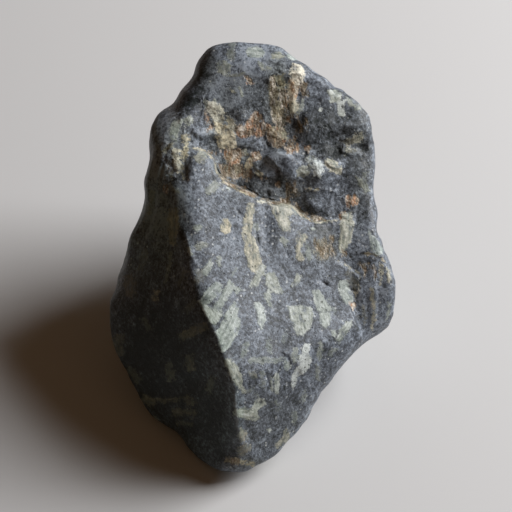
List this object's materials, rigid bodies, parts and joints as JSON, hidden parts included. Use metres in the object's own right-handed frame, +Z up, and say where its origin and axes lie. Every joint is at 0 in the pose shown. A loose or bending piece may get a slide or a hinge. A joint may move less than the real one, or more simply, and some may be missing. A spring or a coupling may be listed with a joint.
{
  "type": "chinese writing stone",
  "caption": "Palm-size water-worn stone of dark porphyry with pale angular feldspar laths, a ridge along its face and a broken hollow, resting on a small flat foot.",
  "frame": {"origin": "on the resting plane, under the middle of the stone's outline seen from above", "axes": "+Z up from the resting plane; +Y from the low nose at the front to the high lobe at the back; +X to the right seen from the front"},
  "size_m": [0.0722, 0.0932, 0.0676],
  "materials": {
    "stone": "worn satin-matte, dark blue-grey with pale green-grey crystals"
  },
  "bodies": {
    "root": {"stone": "stone"}
  },
  "joints": []
}
